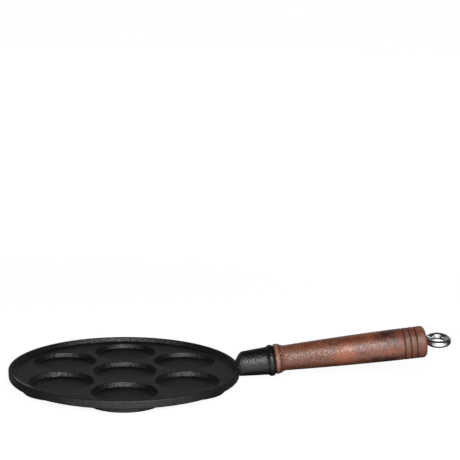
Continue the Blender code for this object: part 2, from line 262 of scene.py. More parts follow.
def colour(name, description, default):
    """A colour that the user can change."""
    return FloatVectorProperty(name=name, description=description, default=default, size=3, min=0.0,
                               max=1.0, subtype="COLOR")


class CastingSettings(bpy.types.PropertyGroup):
    """Sizes and finish of the iron casting."""
    well_radius: length("Well radius", "Radius of a well at the plate's face", 0.0317)
    well_depth: length("Well depth", "Depth of a well below the plate's face", 0.0050)
    well_lean: length("Well lean", "How much a well narrows from its lip to its floor", 0.0020)
    well_land: length("Land", "Plate left between two wells", 0.0074)
    outer_land: length("Outer land", "Plate left between a well and the rim", 0.0071)
    floor_thickness: length("Floor thickness", "Iron under a well", 0.0042)
    plate_thickness: length("Plate thickness", "Iron of the plate between the cups", 0.0034)
    rim_height: length("Rim height", "Height of the rim above the plate", 0.0046)
    rim_lean: length("Rim lean", "How much the rim's inner wall leans out", 0.0021)
    rim_thickness: length("Rim thickness", "Width of the rim's top", 0.0033)
    skirt_lean: length("Skirt lean", "How much the outer wall draws in towards its foot", 0.0003)
    cup_wall: length("Cup wall", "Width of a cup's foot outside its well's floor", 0.0073)
    cup_draft: length("Cup draft", "How much a cup widens from its foot to the plate", 0.0010)
    socket_length: length("Socket length", "From the rim to the socket's mouth", 0.03515)
    socket_drop: length("Socket drop", "How far the socket's middle lies below the handle's line", 0.00095)
    socket_root_radius: length("Socket root radius", "Radius where the socket leaves the rim", 0.0122)
    socket_neck_radius: length("Socket neck radius", "Radius just before the bead", 0.0141)
    socket_bead_radius: length("Bead radius", "Radius of the bead at the socket's mouth", 0.0158)
    socket_bead_length: length("Bead length", "Length of the bead at the socket's mouth", 0.0068)
    socket_bead_shoulder: length("Bead shoulder", "Length of the bead's slope on each side", 0.0019)
    socket_mouth_radius: length("Mouth radius", "Radius of the socket's flat mouth", 0.0146)
    socket_tail_length: length("Tail length", "Length of the socket's taper inside the rim", 0.0140)
    socket_tail_radius: length("Tail radius", "Radius at the end of that taper", 0.0060)
    toe_slope: angle("Toe slope", "Slope of the socket's inner end", 66.0)
    toe_reach: length("Toe reach", "How far the toe stands inside the rim's wall", 0.0014)
    iron_colour: colour("Iron", "Colour of the seasoned iron", (0.0435, 0.0435, 0.0450))
    iron_metal: share("Metal", "How metallic the seasoned iron is", 0.90)
    iron_edge: share("Edge reflection", "How much the iron reflects at a glancing angle", 0.62)


class HandleSettings(bpy.types.PropertyGroup):
    """Sizes and finish of the turned handle and of the line that it lies on."""
    slope: angle("Slope", "How much the handle rises", 6.83)
    above_rim: length("Above rim", "Height of the handle's line above the rim", 0.0026)
    length: length("Length", "Length of the handle that shows", 0.15480)
    end_radius: length("End radius", "Radius at the far end", 0.0161)
    end_round: length("End rounding", "Rounding of the far end's edge", 0.0034)
    neck_radius: length("Neck radius", "Radius of the neck behind the bead", 0.0127)
    neck_length: length("Neck length", "Length of the neck's straight part", 0.0014)
    bead_radius: length("Bead radius", "Radius of the bead next to the socket", 0.0152)
    bead_length: length("Bead length", "Length of that bead", 0.0045)
    cove_length: length("Cove length", "Length of the cove between the bead and the neck", 0.0047)
    groove_pitch: length("Groove pitch", "From one groove to the next", 0.0062)
    groove_width: length("Groove width", "Width of a groove", 0.0018)
    groove_depth: length("Groove depth", "Depth of a groove", 0.0008)
    end_band: length("End band", "From the far end to the first groove", 0.0106)
    tenon_radius: length("Tenon radius", "Radius of the tenon that sits in the socket", 0.0090)
    tenon_length: length("Tenon length", "Length of that tenon", 0.0117)
    wood_dark: colour("Dark wood", "Colour of the walnut's dark streaks", (0.050, 0.014, 0.008))
    wood_mid: colour("Wood", "Main colour of the walnut", (0.200, 0.056, 0.028))
    wood_light: colour("Light wood", "Colour of the walnut's light streaks", (0.350, 0.130, 0.072))
    wood_red: colour("Red wood", "Colour of the walnut's reddest patches", (0.460, 0.125, 0.045))
    # Painted highlight: the lighter colour laid on the wooden bead's crest
    wood_crest_highlight: colour("Crest highlight", "Colour painted on the bead's crest as a highlight", (0.420, 0.230, 0.160))


class EyeSettings(bpy.types.PropertyGroup):
    """Sizes and finish of the steel rod with the hanging eye."""
    rod_radius: length("Rod radius", "Radius of the rod", 0.0030)
    wire_radius: length("Wire radius", "Radius of the wire that the eye is bent from", 0.0034)
    eye_radius: length("Eye radius", "Radius of the eye, to the middle of its wire", 0.01015)
    eye_roll: angle("Eye roll", "How far the eye is turned out of level", 11.4)
    eye_droop: angle("Eye droop", "How far the eye hangs below the handle's line", 3.6)
    wire_end: angle("Wire end", "Where the wire ends, measured round the eye from the rod", 31.0)
    thread_pitch: length("Thread pitch", "Pitch of the thread at the rod's tip", 0.0010)
    thread_length: length("Thread length", "Length of that thread", 0.0120)
    steel_colour: colour("Steel", "Colour of the plated steel", (0.740, 0.750, 0.770))


class StageSettings(bpy.types.PropertyGroup):
    """Camera, lights, studio and floor."""
    lens: FloatProperty(name="Lens", description="Focal length of the camera", default=94.441, unit="CAMERA")
    camera_place: FloatVectorProperty(name="Camera", description="Where the camera stands", size=3,
                                      default=(0.00482, -1.17325, 0.35127), subtype="XYZ", unit="LENGTH")
    camera_pitch: angle("Pitch", "How far the camera looks down", 9.581)
    camera_yaw: angle("Yaw", "How far the camera is turned to the left", -4.770)
    camera_roll: angle("Roll", "How far the camera is tilted", 1.201)
    key_power: FloatProperty(name="Key light", description="Power of the large light", default=22.5,
                             unit="POWER")
    fill_front: share("Front fill", "Brightness of the soft light from the front and above", 0.04)
    fill_back: share("Back fill", "Brightness of the soft light from behind", 0.30)
    studio_dark: share("Studio", "Brightness of the dark studio, as metal shows it", 0.04)
    studio_low: share("Studio foot", "Brightness of the studio behind, low down, as metal shows it", 0.45)
    studio_front: share("Studio front", "Brightness of the studio in front, as metal shows it", 0.72)
    studio_floor: share("Floor in metal", "Brightness of the floor in front, as metal shows it", 1.25,
                        most=2.0)
    studio_back: share("Floor behind", "Brightness of the floor behind, as metal shows it", 0.80)
    floor_colour: colour("Floor", "Colour of the floor", (0.20, 0.20, 0.20))
    floor_glow: share("Floor white", "White that the floor adds near the pan where the camera sees it", 0.93)


def arc_corner(before, corner, after, reach):
    """Points of the arc that rounds one corner of an outline and cuts the given reach off both sides."""
    x, z = corner
    back = Vector((before[0] - x, before[1] - z)).normalized()
    ahead = Vector((after[0] - x, after[1] - z)).normalized()
    half = math.acos(max(-1.0, min(1.0, back.dot(ahead)))) / 2
    middle = (back + ahead).normalized() * reach / math.cos(half)
    centre = Vector((x, z)) + middle
    start = Vector((x, z)) + back * reach - centre
    turn = math.copysign(math.pi - 2 * half, back[1] * ahead[0] - back[0] * ahead[1])
    pieces = max(1, math.ceil(abs(turn) / ARC_STEP))
    points = []
    for piece in range(pieces + 1):
        cosine = math.cos(turn * piece / pieces)
        sine = math.sin(turn * piece / pieces)
        points.append((centre[0] + start[0] * cosine - start[1] * sine,
                       centre[1] + start[0] * sine + start[1] * cosine))
    return points


def rounded(corners):
    """Rounds the corners of an outline: each is (distance from the axis, height, setback of its arc)."""
    points = []
    for index, (x, z, setback) in enumerate(corners):
        if setback <= 0.0:
            points.append((x, z))
            continue
        before = corners[index - 1]
        after = corners[index + 1]
        # Two roundings on one side share its length.
        reach = min(setback, math.dist(before[:2], (x, z)) * setback / (setback + before[2]),
                    math.dist(after[:2], (x, z)) * setback / (setback + after[2]))
        points += arc_corner(before, (x, z), after, reach)
    kept = points[:1]
    for point in points[1:]:
        if math.dist(point, kept[-1]) > WELD:
            kept.append(point)
    return kept


def select_only(piece):
    """Makes one object the active and the only selected one."""
    bpy.ops.object.select_all(action="DESELECT")
    piece.select_set(True)
    bpy.context.view_layer.objects.active = piece


def apply_place(piece):
    """Moves an object's place and turn into its mesh."""
    select_only(piece)
    bpy.ops.object.transform_apply(location=True, rotation=True, scale=True)


def face_outwards():
    """Turns every face of the mesh in edit mode outwards."""
    bpy.ops.mesh.select_all(action="SELECT")
    bpy.ops.mesh.normals_make_consistent(inside=False)


def select_open_edges():
    """Selects the edges round the holes of the mesh in edit mode."""
    bpy.ops.mesh.select_mode(type="EDGE")
    bpy.ops.mesh.select_all(action="DESELECT")
    bpy.ops.mesh.select_non_manifold()


def close_ends():
    """Fills the open ends of the mesh in edit mode, and turns its faces outwards."""
    select_open_edges()
    bpy.ops.mesh.fill_holes(sides=0)
    face_outwards()


def turned(name, points, steps):
    """A round body: one corner is extruded along the outline, and the outline is spun about the Z axis."""
    bpy.ops.object.select_all(action="DESELECT")
    x, z = points[0]
    bpy.ops.mesh.primitive_plane_add(size=SPECK, enter_editmode=True, location=(x, 0.0, z))
    piece = bpy.context.object
    piece.name = name
    bpy.ops.mesh.select_mode(type="VERT")
    bpy.ops.mesh.merge(type="CENTER")
    for (x, z), (next_x, next_z) in zip(points, points[1:]):
        bpy.ops.mesh.extrude_vertices_move(TRANSFORM_OT_translate={"value": (next_x - x, 0.0, next_z - z)})
    bpy.ops.mesh.select_all(action="SELECT")
    bpy.ops.mesh.spin(steps=steps, angle=2 * math.pi, center=(0.0, 0.0, 0.0), axis=(0.0, 0.0, 1.0))
    bpy.ops.mesh.select_all(action="SELECT")
    bpy.ops.mesh.remove_doubles(threshold=WELD)
    face_outwards()
    bpy.ops.object.mode_set(mode="OBJECT")
    apply_place(piece)
    return piece


def combine(piece, operation, tools):
    """Joins the tools to a piece, or cuts them out of it, and removes them."""
    group = bpy.data.collections.new("tools")
    bpy.context.scene.collection.children.link(group)
    for tool in tools:
        group.objects.link(tool)
    change = piece.modifiers.new("combine", "BOOLEAN")
    change.operation = operation
    change.solver = "EXACT"
    change.operand_type = "COLLECTION"
    change.collection = group
    select_only(piece)
    bpy.ops.object.modifier_apply(modifier=change.name)
    for tool in tools:
        bpy.data.objects.remove(tool, do_unlink=True)
    bpy.data.collections.remove(group)


def check_closed(piece):
    """Stops the work if a piece has a hole or a loose part."""
    select_only(piece)
    bpy.ops.object.mode_set(mode="EDIT")
    select_open_edges()
    bpy.ops.object.mode_set(mode="OBJECT")
    open_edges = sum(edge.select for edge in piece.data.edges)
    if open_edges:
        raise RuntimeError("%s isn't closed: %d open edges" % (piece.name, open_edges))


def finish_piece(piece, node, finish):
    """Shades a piece, gives it its finish and puts it in the place of its solid."""
    check_closed(piece)
    piece.data.materials.clear()
    piece.data.materials.append(finish)
    bpy.ops.object.shade_smooth_by_angle(angle=SMOOTH_ANGLE)
    even = piece.modifiers.new("even_shading", "WEIGHTED_NORMAL")
    even.keep_sharp = True
    bpy.ops.object.modifier_apply(modifier=even.name)
    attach(piece, "root")
    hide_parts(node)


def plate_top(casting):
    """Height of the plate's face."""
    return casting.floor_thickness + casting.well_depth


def rim_top(casting):
    """Height of the rim's top."""
    return plate_top(casting) + casting.rim_height


def well_pitch(casting):
    """From the middle of one well to the next."""
    return 2 * casting.well_radius + casting.well_land


def wall_top_radius(casting):
    """Radius of the rim's inner wall at its top."""
    return well_pitch(casting) + casting.well_radius + casting.outer_land + casting.rim_lean


def pan_radius(casting):
    """Radius of the pan over its rim."""
    return wall_top_radius(casting) + casting.rim_thickness


def handle_start(casting):
    """Where the handle begins, measured along its line from the rim."""
    return casting.socket_length + JOINT_GAP


def tenon_end(casting, handle):
    """Where the handle's tenon ends inside the socket."""
    return handle_start(casting) - handle.tenon_length


def thread_top(casting, handle, eye):
    """Where the rod's thread begins inside the socket."""
    return tenon_end(casting, handle) - JOINT_GAP - eye.thread_pitch


def lay_on_line(piece, casting, handle, drop=0.0):
    """Turns an upright piece into the handle's line, which starts above the rim, and applies its place."""
    lean = math.pi / 2 - handle.slope
    piece.rotation_euler = (0.0, lean, 0.0)
    piece.location = (pan_radius(casting) + drop * math.cos(lean), 0.0,
                      rim_top(casting) + handle.above_rim - drop * math.sin(lean))
    apply_place(piece)


def at_each_well(tool, casting):
    """Puts a copy of a tool, with its own mesh, at every well, and removes the first.

    One well is in the middle and the others are in a ring, none of them in line with the handle.
    """
    copies = []
    for number in range(OUTER_WELLS + 1):
        reach = well_pitch(casting) if number else 0.0
        turn = (number - 0.5) * 2 * math.pi / OUTER_WELLS
        copy = tool.copy()
        copy.data = tool.data.copy()
        bpy.context.scene.collection.objects.link(copy)
        copy.location = (reach * math.cos(turn), reach * math.sin(turn), 0.0)
        copy.rotation_euler = (0.0, 0.0, number * COPY_TURN)
        apply_place(copy)
        copies.append(copy)
    bpy.data.objects.remove(tool, do_unlink=True)
    return copies


def make_disc(casting):
    """The solid disc of the pan up to the rim's top, with its leaning outer wall."""
    radius = pan_radius(casting)
    underside = plate_top(casting) - casting.plate_thickness
    return turned("cast_pan", rounded([
        (0.0, rim_top(casting), 0.0), (radius, rim_top(casting), RIM_EDGE_ROUND),
        (radius - casting.skirt_lean, underside, SKIRT_FOOT_ROUND), (0.0, underside, 0.0)]), PAN_STEPS)


def make_cups(casting):
    """The cups under the wells, each with a flat foot and a soft fillet at the plate."""
    underside = plate_top(casting) - casting.plate_thickness
    foot_radius = casting.well_radius - casting.well_lean + casting.cup_wall
    root_radius = foot_radius + casting.cup_draft
    flare_radius = root_radius + 2 * CUP_ROOT_ROUND
    cup = turned("cup", rounded([
        (0.0, underside + CUP_ROOT_ROUND, 0.0), (flare_radius, underside + CUP_ROOT_ROUND, 0.0),
        (flare_radius, underside + FACE_SPARE, 0.0), (root_radius, underside + FACE_SPARE, CUP_ROOT_ROUND),
        (foot_radius, 0.0, CUP_FOOT_ROUND), (0.0, 0.0, 0.0)]), WELL_STEPS)
    return at_each_well(cup, casting)


def make_wells(casting):
    """The wells' hollows, with a rounded lip, a leaning wall and a rounded foot."""
    face = plate_top(casting) + FACE_SPARE
    lip_radius = casting.well_radius + LIP_ROUND
    well = turned("well", rounded([
        (0.0, face + TOOL_SPARE, 0.0), (lip_radius, face + TOOL_SPARE, 0.0), (lip_radius, face, 0.0),
        (casting.well_radius, face, LIP_ROUND),
        (casting.well_radius - casting.well_lean, casting.floor_thickness, WELL_FOOT_ROUND),
        (0.0, casting.floor_thickness, 0.0)]), WELL_STEPS)
    return at_each_well(well, casting)


def cut_at_toe(piece, casting, set_back, keep_outer):
    """Cuts a piece along the plane of the socket's toe and closes the cut, whose face is left selected."""
    towards_pan = Vector((-math.sin(casting.toe_slope), 0.0, math.cos(casting.toe_slope)))
    toe = Vector((wall_top_radius(casting) - casting.toe_reach, 0.0, rim_top(casting)))
    select_only(piece)
    bpy.ops.object.mode_set(mode="EDIT")
    bpy.ops.mesh.select_all(action="SELECT")
    bpy.ops.mesh.bisect(plane_co=toe - towards_pan * set_back, plane_no=towards_pan, use_fill=True,
                        clear_outer=keep_outer, clear_inner=not keep_outer)


def make_cavity(casting):
    """The hollow inside the rim, cut flat where the socket's toe rises from it."""
    top = rim_top(casting) + FACE_SPARE
    edge = wall_top_radius(casting) + RIM_TOP_ROUND
    cavity = turned("cavity", rounded([
        (0.0, top + 3 * TOOL_SPARE, 0.0), (edge + 2 * TOOL_SPARE, top + 3 * TOOL_SPARE, 0.0),
        (edge, top, 0.0),
        (wall_top_radius(casting), top, RIM_TOP_ROUND),
        (wall_top_radius(casting) - casting.rim_lean, plate_top(casting), RIM_FOOT_ROUND),
        (0.0, plate_top(casting), 0.0)]), PAN_STEPS)
    cut_at_toe(cavity, casting, 0.0, keep_outer=False)
    bpy.ops.object.mode_set(mode="OBJECT")
    return cavity


def make_socket(casting, handle):
    """The handle's socket: a tapered tail, a swelling cone and a bead at the mouth, with a rounded nose."""
    mouth = casting.socket_length
    bead_start = mouth - casting.socket_bead_length
    shoulder = casting.socket_bead_shoulder
    tail = -casting.socket_tail_length
    corners = [(0.0, mouth, 0.0), (casting.socket_mouth_radius, mouth, MOUTH_ROUND),
               (casting.socket_bead_radius, mouth - shoulder, BEAD_ROUND),
               (casting.socket_bead_radius, bead_start + shoulder, BEAD_ROUND),
               (casting.socket_neck_radius, bead_start, BEAD_ROUND)]
    for number in range(1, CONE_PARTS + 1):
        done = number / CONE_PARTS
        radius = casting.socket_neck_radius + (casting.socket_root_radius - casting.socket_neck_radius) * done
        corners.append((radius, bead_start * (1.0 - done), 0.0))
    corners += [(casting.socket_tail_radius, tail, TAIL_ROUND), (0.0, tail, 0.0)]
    socket = turned("socket", rounded(corners), SOCKET_STEPS)
    lay_on_line(socket, casting, handle, casting.socket_drop)
    cut_at_toe(socket, casting, NOSE_SET_BACK, keep_outer=True)
    bpy.ops.mesh.bevel(offset=NOSE_ROUND, segments=NOSE_STEPS, affect="EDGES", clamp_overlap=False)
    face_outwards()
    bpy.ops.object.mode_set(mode="OBJECT")
    return socket


def make_socket_hole(casting, handle, eye):
    """The recess for the handle's tenon and, beyond it, the drilled hole for the rod's threaded end."""
    hole_radius = eye.rod_radius + THREAD_CLEARANCE
    recess_radius = handle.tenon_radius + JOINT_GAP
    recess_floor = tenon_end(casting, handle) - JOINT_GAP
    hole_floor = thread_top(casting, handle, eye) - eye.thread_length - HOLE_SPARE
    outside = casting.socket_length + TOOL_SPARE
    hole = turned("socket_hole", [
        (0.0, outside), (recess_radius, outside), (recess_radius, recess_floor), (hole_radius, recess_floor),
        (hole_radius, hole_floor), (0.0, hole_floor - hole_radius * math.tan(DRILL_POINT))], SOCKET_STEPS)
    lay_on_line(hole, casting, handle)
    return hole


def handle_radius(handle, along, neck_end, handle_end):
    """Radius of the grip at a place along its line: it swells quickly first, then slowly."""
    left = 1.0 - (along - neck_end) / (handle_end - neck_end)
    return handle.neck_radius + (handle.end_radius - handle.neck_radius) * (1.0 - left ** SWELL_POWER)


def make_handle_body(casting, handle, eye):
    """The turned handle with its bore: rounded end, three grooves, swelling grip, cove, bead and tenon."""
    bore = eye.rod_radius + BORE_CLEARANCE
    start = handle_start(casting)
    end = start + handle.length
    neck_start = start + handle.bead_length + handle.cove_length
    neck_end = neck_start + handle.neck_length
    corners = [(bore, end - BORE_CHAMFER, 0.0), (bore + BORE_CHAMFER, end, 0.0),
               (handle.end_radius, end, handle.end_round)]
    for number in range(GROOVES):
        middle = end - handle.end_band - number * handle.groove_pitch
        radius = handle_radius(handle, middle, neck_end, end)
        half_width = handle.groove_width / 2
        corners.append((radius, middle + half_width, GROOVE_EDGE_ROUND))
        corners.append((radius - handle.groove_depth, middle, GROOVE_EDGE_ROUND))
        corners.append((radius, middle - half_width, GROOVE_EDGE_ROUND))
    swell_end = end - handle.end_band - GROOVES * handle.groove_pitch
    for number in range(SWELL_POINTS):
        along = swell_end + (neck_end - swell_end) * number / SWELL_POINTS
        corners.append((handle_radius(handle, along, neck_end, end), along, 0.0))
    corners += [(handle.neck_radius, neck_end, 0.0), (handle.neck_radius, neck_start, handle.neck_length),
                (handle.bead_radius, start + handle.bead_length, BEAD_BACK_ROUND),
                (handle.bead_radius, start, BEAD_FRONT_ROUND),
                (handle.tenon_radius, start, 0.0),
                (handle.tenon_radius, start - handle.tenon_length, TENON_ROUND),
                (bore, start - handle.tenon_length, 0.0), (bore, end - BORE_CHAMFER, 0.0)]
    body = turned("turned_handle", rounded(corners), HANDLE_STEPS)
    lay_on_line(body, casting, handle)
    return body


def eye_root(casting, handle, eye):
    """Where the rod meets the middle of the eye's wire, measured along the handle's line."""
    return handle_start(casting) + handle.length + JOINT_GAP + eye.wire_radius


def make_wire_ring(casting, handle, eye):
    """The eye: a round wire bent in a circle from the rod, whose blunt end stops just short of it."""
    bpy.ops.object.select_all(action="DESELECT")
    bpy.ops.mesh.primitive_circle_add(vertices=WIRE_STEPS, radius=eye.wire_radius, fill_type="NOTHING",
                                      location=(eye.eye_radius, 0.0, 0.0), rotation=(math.pi / 2, 0.0, 0.0),
                                      enter_editmode=True)
    ring = bpy.context.object
    ring.name = "wire_ring"
    bpy.ops.mesh.spin(steps=EYE_STEPS, angle=2 * math.pi - eye.wire_end + WIRE_START,
                      center=(0.0, 0.0, 0.0), axis=(0.0, 0.0, 1.0))
    close_ends()
    bpy.ops.mesh.select_mode(type="FACE")
    bpy.ops.mesh.select_all(action="DESELECT")
    bpy.ops.mesh.select_face_by_sides(number=WIRE_STEPS, type="EQUAL")
    bpy.ops.mesh.bevel(offset=WIRE_END_ROUND, segments=WIRE_END_STEPS, affect="EDGES")
    bpy.ops.object.mode_set(mode="OBJECT")
    apply_place(ring)
    ring.rotation_euler = (0.0, 0.0, -WIRE_START)
    apply_place(ring)
    ring.rotation_euler = (0.0, math.pi / 2 + eye.eye_droop, eye.eye_roll)
    to_root = ring.rotation_euler.to_matrix() @ Vector((eye.eye_radius, 0.0, 0.0))
    ring.location = Vector((0.0, 0.0, eye_root(casting, handle, eye))) - to_root
    apply_place(ring)
    return ring


def make_thread(casting, handle, eye):
    """The ridge of the rod's screw thread: a square on its corner, screwed up the rod's tip."""
    ridge = THREAD_FILL * eye.thread_pitch
    tip = thread_top(casting, handle, eye) - eye.thread_length
    bpy.ops.object.select_all(action="DESELECT")
    bpy.ops.mesh.primitive_circle_add(vertices=THREAD_SIDES, radius=ridge, fill_type="NOTHING",
                                      rotation=(math.pi / 2, 0.0, 0.0),
                                      location=(eye.rod_radius - ridge, 0.0, tip + THREAD_RUNOUT))
    thread = bpy.context.object
    thread.name = "thread"
    apply_place(thread)
    winding = thread.modifiers.new("winding", "SCREW")
    winding.axis = "Z"
    winding.screw_offset = eye.thread_pitch
    winding.iterations = int((eye.thread_length - 2 * THREAD_RUNOUT) / eye.thread_pitch)
    winding.steps = THREAD_STEPS
    winding.render_steps = THREAD_STEPS
    bpy.ops.object.modifier_apply(modifier=winding.name)
    bpy.ops.object.mode_set(mode="EDIT")
    close_ends()
    bpy.ops.object.mode_set(mode="OBJECT")
    return thread


def make_rod(casting, handle, eye):
    """The rod from its threaded tip to the eye, where it flares into the wire."""
    core = eye.rod_radius - THREAD_SINK * THREAD_FILL * eye.thread_pitch
    shoulder = thread_top(casting, handle, eye)
    tip = shoulder - eye.thread_length
    end = eye_root(casting, handle, eye)
    flare = end - eye.wire_radius
    return turned("hanging_eye", rounded([
        (0.0, end, 0.0), (eye.rod_radius + EYE_FLARE / 2, end, 0.0), (eye.rod_radius, flare, EYE_FLARE),
        (eye.rod_radius, shoulder, 0.0), (core, shoulder - eye.thread_pitch / 2, 0.0),
        (core, tip, eye.thread_pitch / 2), (0.0, tip, 0.0)]), ROD_STEPS)


def feed(tree, node, values):
    """Gives sockets of a node their values. A value that is another node's output is linked."""
    for name, value in values.items():
        if isinstance(value, bpy.types.NodeSocket):
            tree.links.new(value, node.inputs[name])
        else:
            node.inputs[name].default_value = value


def add(tree, kind, values=None, **settings):
    """A shader node with its settings and the values of its sockets."""
    node = tree.nodes.new(kind)
    for name, setting in settings.items():
        setattr(node, name, setting)
    feed(tree, node, values or {})
    return node


def new_finish(name):
    """A Principled material: the material, its nodes and its shader."""
    finish = bpy.data.materials.new(name)
    finish.use_nodes = True
    return finish, finish.node_tree, finish.node_tree.nodes["Principled BSDF"]


def noise(tree, vector, scale, detail, roughness, distortion=0.0):
    """The grey value of a noise whose patches are about one over the scale in size."""
    made = add(tree, "ShaderNodeTexNoise", {"Vector": vector, "Scale": scale, "Detail": detail,
                                            "Roughness": roughness, "Distortion": distortion})
    return made.outputs["Fac"]


def drawn_out(tree, vector, stretch, *pattern):
    """A noise that is drawn out along the axes where the stretch is small."""
    vector = add(tree, "ShaderNodeMapping", {"Vector": vector, "Scale": stretch}).outputs["Vector"]
    return noise(tree, vector, *pattern)


def ramp(tree, value, low, high, to_low=0.0, to_high=1.0, smooth=False):
    """Stretches the values from low to high over another range, and holds the rest at its ends."""
    made = add(tree, "ShaderNodeMapRange", {"Value": value, "From Min": low, "From Max": high,
                                            "To Min": to_low, "To Max": to_high},
               interpolation_type="SMOOTHSTEP" if smooth else "LINEAR")
    return made.outputs["Result"]


def maths(tree, operation, *values):
    """One step of arithmetic on values."""
    return add(tree, "ShaderNodeMath", dict(enumerate(values)), operation=operation).outputs["Value"]


def product(tree, first, *others):
    """Values multiplied by one another."""
    for other in others:
        first = maths(tree, "MULTIPLY", first, other)
    return first


def largest(tree, first, *others):
    """The largest of several values."""
    for other in others:
        first = maths(tree, "MAXIMUM", first, other)
    return first


def weighted(tree, *terms):
    """The sum of several values, each with its weight."""
    total = 0.0
    for value, weight in terms:
        total = maths(tree, "MULTIPLY_ADD", value, weight, total)
    return total


def blended(tree, factor, first, second):
    """Two colours blended by a factor: none of it gives the first, all of it the second."""
    values = dict(zip(MIX_INPUTS, (factor, first, second)))
    return add(tree, "ShaderNodeMix", values, data_type="RGBA").outputs[MIX_RESULT]


def mixed(tree, factor, first, second):
    """Two shaders mixed by a factor: none of it gives the first, all of it the second."""
    return add(tree, "ShaderNodeMixShader", {0: factor, 1: first, 2: second}).outputs["Shader"]


def shade_of(rgb, brightness=1.0):
    """A colour for a node, made brighter or darker."""
    return (rgb[0] * brightness, rgb[1] * brightness, rgb[2] * brightness, 1.0)


def relief(tree, *layers):
    """The surface's normal, tilted by layers that each have their height, depth and strength."""
    normal = None
    for height, depth, strength in layers:
        made = add(tree, "ShaderNodeBump", {"Height": height, "Distance": depth, "Strength": strength})
        if normal is not None:
            tree.links.new(normal, made.inputs["Normal"])
        normal = made.outputs["Normal"]
    return normal


def iron_finish(casting):
    """Seasoned cast iron: near black, with a sand-cast grain, soft patches and a painted highlight along the
    rim's inner edge.
    """
    finish, tree, shader = new_finish("seasoned_iron_finish")
    place = add(tree, "ShaderNodeTexCoord").outputs["Object"]
    x, y, z = add(tree, "ShaderNodeSeparateXYZ", {"Vector": place}).outputs
    radius = maths(tree, "SQRT", weighted(tree, (x, x), (y, y)))
    grain, sand, swell, patches = (noise(tree, place, *pattern) for pattern in IRON_PATTERNS)
    pits = add(tree, "ShaderNodeTexVoronoi", {"Vector": place, "Scale": PIT_SCALE, "Randomness": 1.0})
    pit = product(tree, ramp(tree, pits.outputs["Distance"], *PIT_EDGE, smooth=True),
                  ramp(tree, sand, *PIT_PLACES))
    tone = ramp(tree, weighted(tree, (patches, 0.6), (sand, 0.4)), *IRON_TONES)
    body = blended(tree, tone, *(shade_of(casting.iron_colour, brightness) for brightness in IRON_SHADES))
    # Painted highlight: a light, less metallic line laid along the rim's inner edge
    rim_highlight = product(tree, painted_rim_highlight(tree, x, y, z, radius, casting), ramp(tree, sand, *RIM_HIGHLIGHT_PLACES))
    outer = pan_radius(casting)
    outside = (wall_top_radius(casting), outer, 1.0)
    roughness = product(
        tree, ramp(tree, weighted(tree, (grain, 0.3), (patches, 1.0)), *IRON_HAZE, *IRON_ROUGHNESS),
        ramp(tree, radius, *outside, SKIRT_ROUGHNESS),
        ramp(tree, x, outer, outer + SOCKET_FADE, 1.0, SOCKET_ROUGHNESS, smooth=True))
    feed(tree, shader, {
        "Base Color": blended(tree, rim_highlight, body, shade_of(casting.iron_colour, RIM_HIGHLIGHT_BRIGHTNESS)),
        "Metallic": ramp(tree, rim_highlight, 0.0, 1.0, casting.iron_metal, 0.0),
        "Roughness": roughness,
        "Specular Tint": shade_of(WHITE, casting.iron_edge),
        "Normal": relief(tree, (swell, *SWELL_RELIEF),
                         (sand, SAND_DEPTH, ramp(tree, radius, *outside, SKIRT_SAND)),
                         (grain, *GRAIN_RELIEF), (maths(tree, "SUBTRACT", 1.0, pit), *PIT_RELIEF))})
    return finish


def painted_rim_highlight(tree, x, y, z, radius, casting):
    """Where the highlight is painted on the rim's inner edge: one in the middle of the line, none away from
    it.
    """
    middle = wall_top_radius(casting) + RIM_TOP_ROUND / 2
    aside = maths(tree, "ABSOLUTE", maths(tree, "SUBTRACT", radius, middle))
    turn = maths(tree, "ARCTAN2", y, x)
    return product(tree, ramp(tree, aside, RIM_HIGHLIGHT_WIDTH, RIM_HIGHLIGHT_WIDTH / 2),
                   ramp(tree, z, rim_top(casting) - RIM_HIGHLIGHT_WIDTH, rim_top(casting) - RIM_HIGHLIGHT_WIDTH / 2),
                   ramp(tree, turn, RIM_HIGHLIGHT_FROM - RIM_HIGHLIGHT_FADE, RIM_HIGHLIGHT_FROM),
                   ramp(tree, turn, RIM_HIGHLIGHT_TO + RIM_HIGHLIGHT_FADE, RIM_HIGHLIGHT_TO))


def stains(tree, place, uneven, spots):
    """How much a place is stained by any of the spots, whose edges are uneven."""
    total = 0.0
    for along, across, up, size, strength in spots:
        apart = add(tree, "ShaderNodeVectorMath", {0: place, 1: (along, across, up)}, operation="DISTANCE")
        distance = maths(tree, "MULTIPLY_ADD", uneven, size, apart.outputs["Value"])
        edge = (size * part for part in STAIN_EDGE)
        total = largest(tree, total, ramp(tree, distance, *edge, strength, 0.0, smooth=True))
    return total


def ring_line(tree, along, middle, width):
    """A line round the handle: one in its middle, none outside its width."""
    aside = maths(tree, "ABSOLUTE", maths(tree, "SUBTRACT", along, middle))
    return ramp(tree, aside, width / 2, width / 4, smooth=True)


def groove_lines(tree, along, casting, handle):
    """Where the grooves lie along the handle: one in a groove, none beside it."""
    last = handle_start(casting) + handle.length - handle.end_band
    return largest(tree, *(ring_line(tree, along, last - number * handle.groove_pitch, handle.groove_width)
                           for number in range(GROOVES)))


def slanted_figure(tree, along, up, wander, patches):
    """The curly figure near the neck: wavering bands, in patches, that slant back from the middle."""
    slanted = maths(tree, "MULTIPLY_ADD", maths(tree, "ABSOLUTE", up), FIGURE_SLANT, along)
    turn = weighted(tree, (slanted, 2 * math.pi / FIGURE_PITCH), (wander, FIGURE_WANDER))
    return product(tree, maths(tree, "SINE", turn), ramp(tree, patches, *FIGURE_PATCHES),
                   ramp(tree, along, FIGURE_END, FIGURE_FULL, smooth=True))


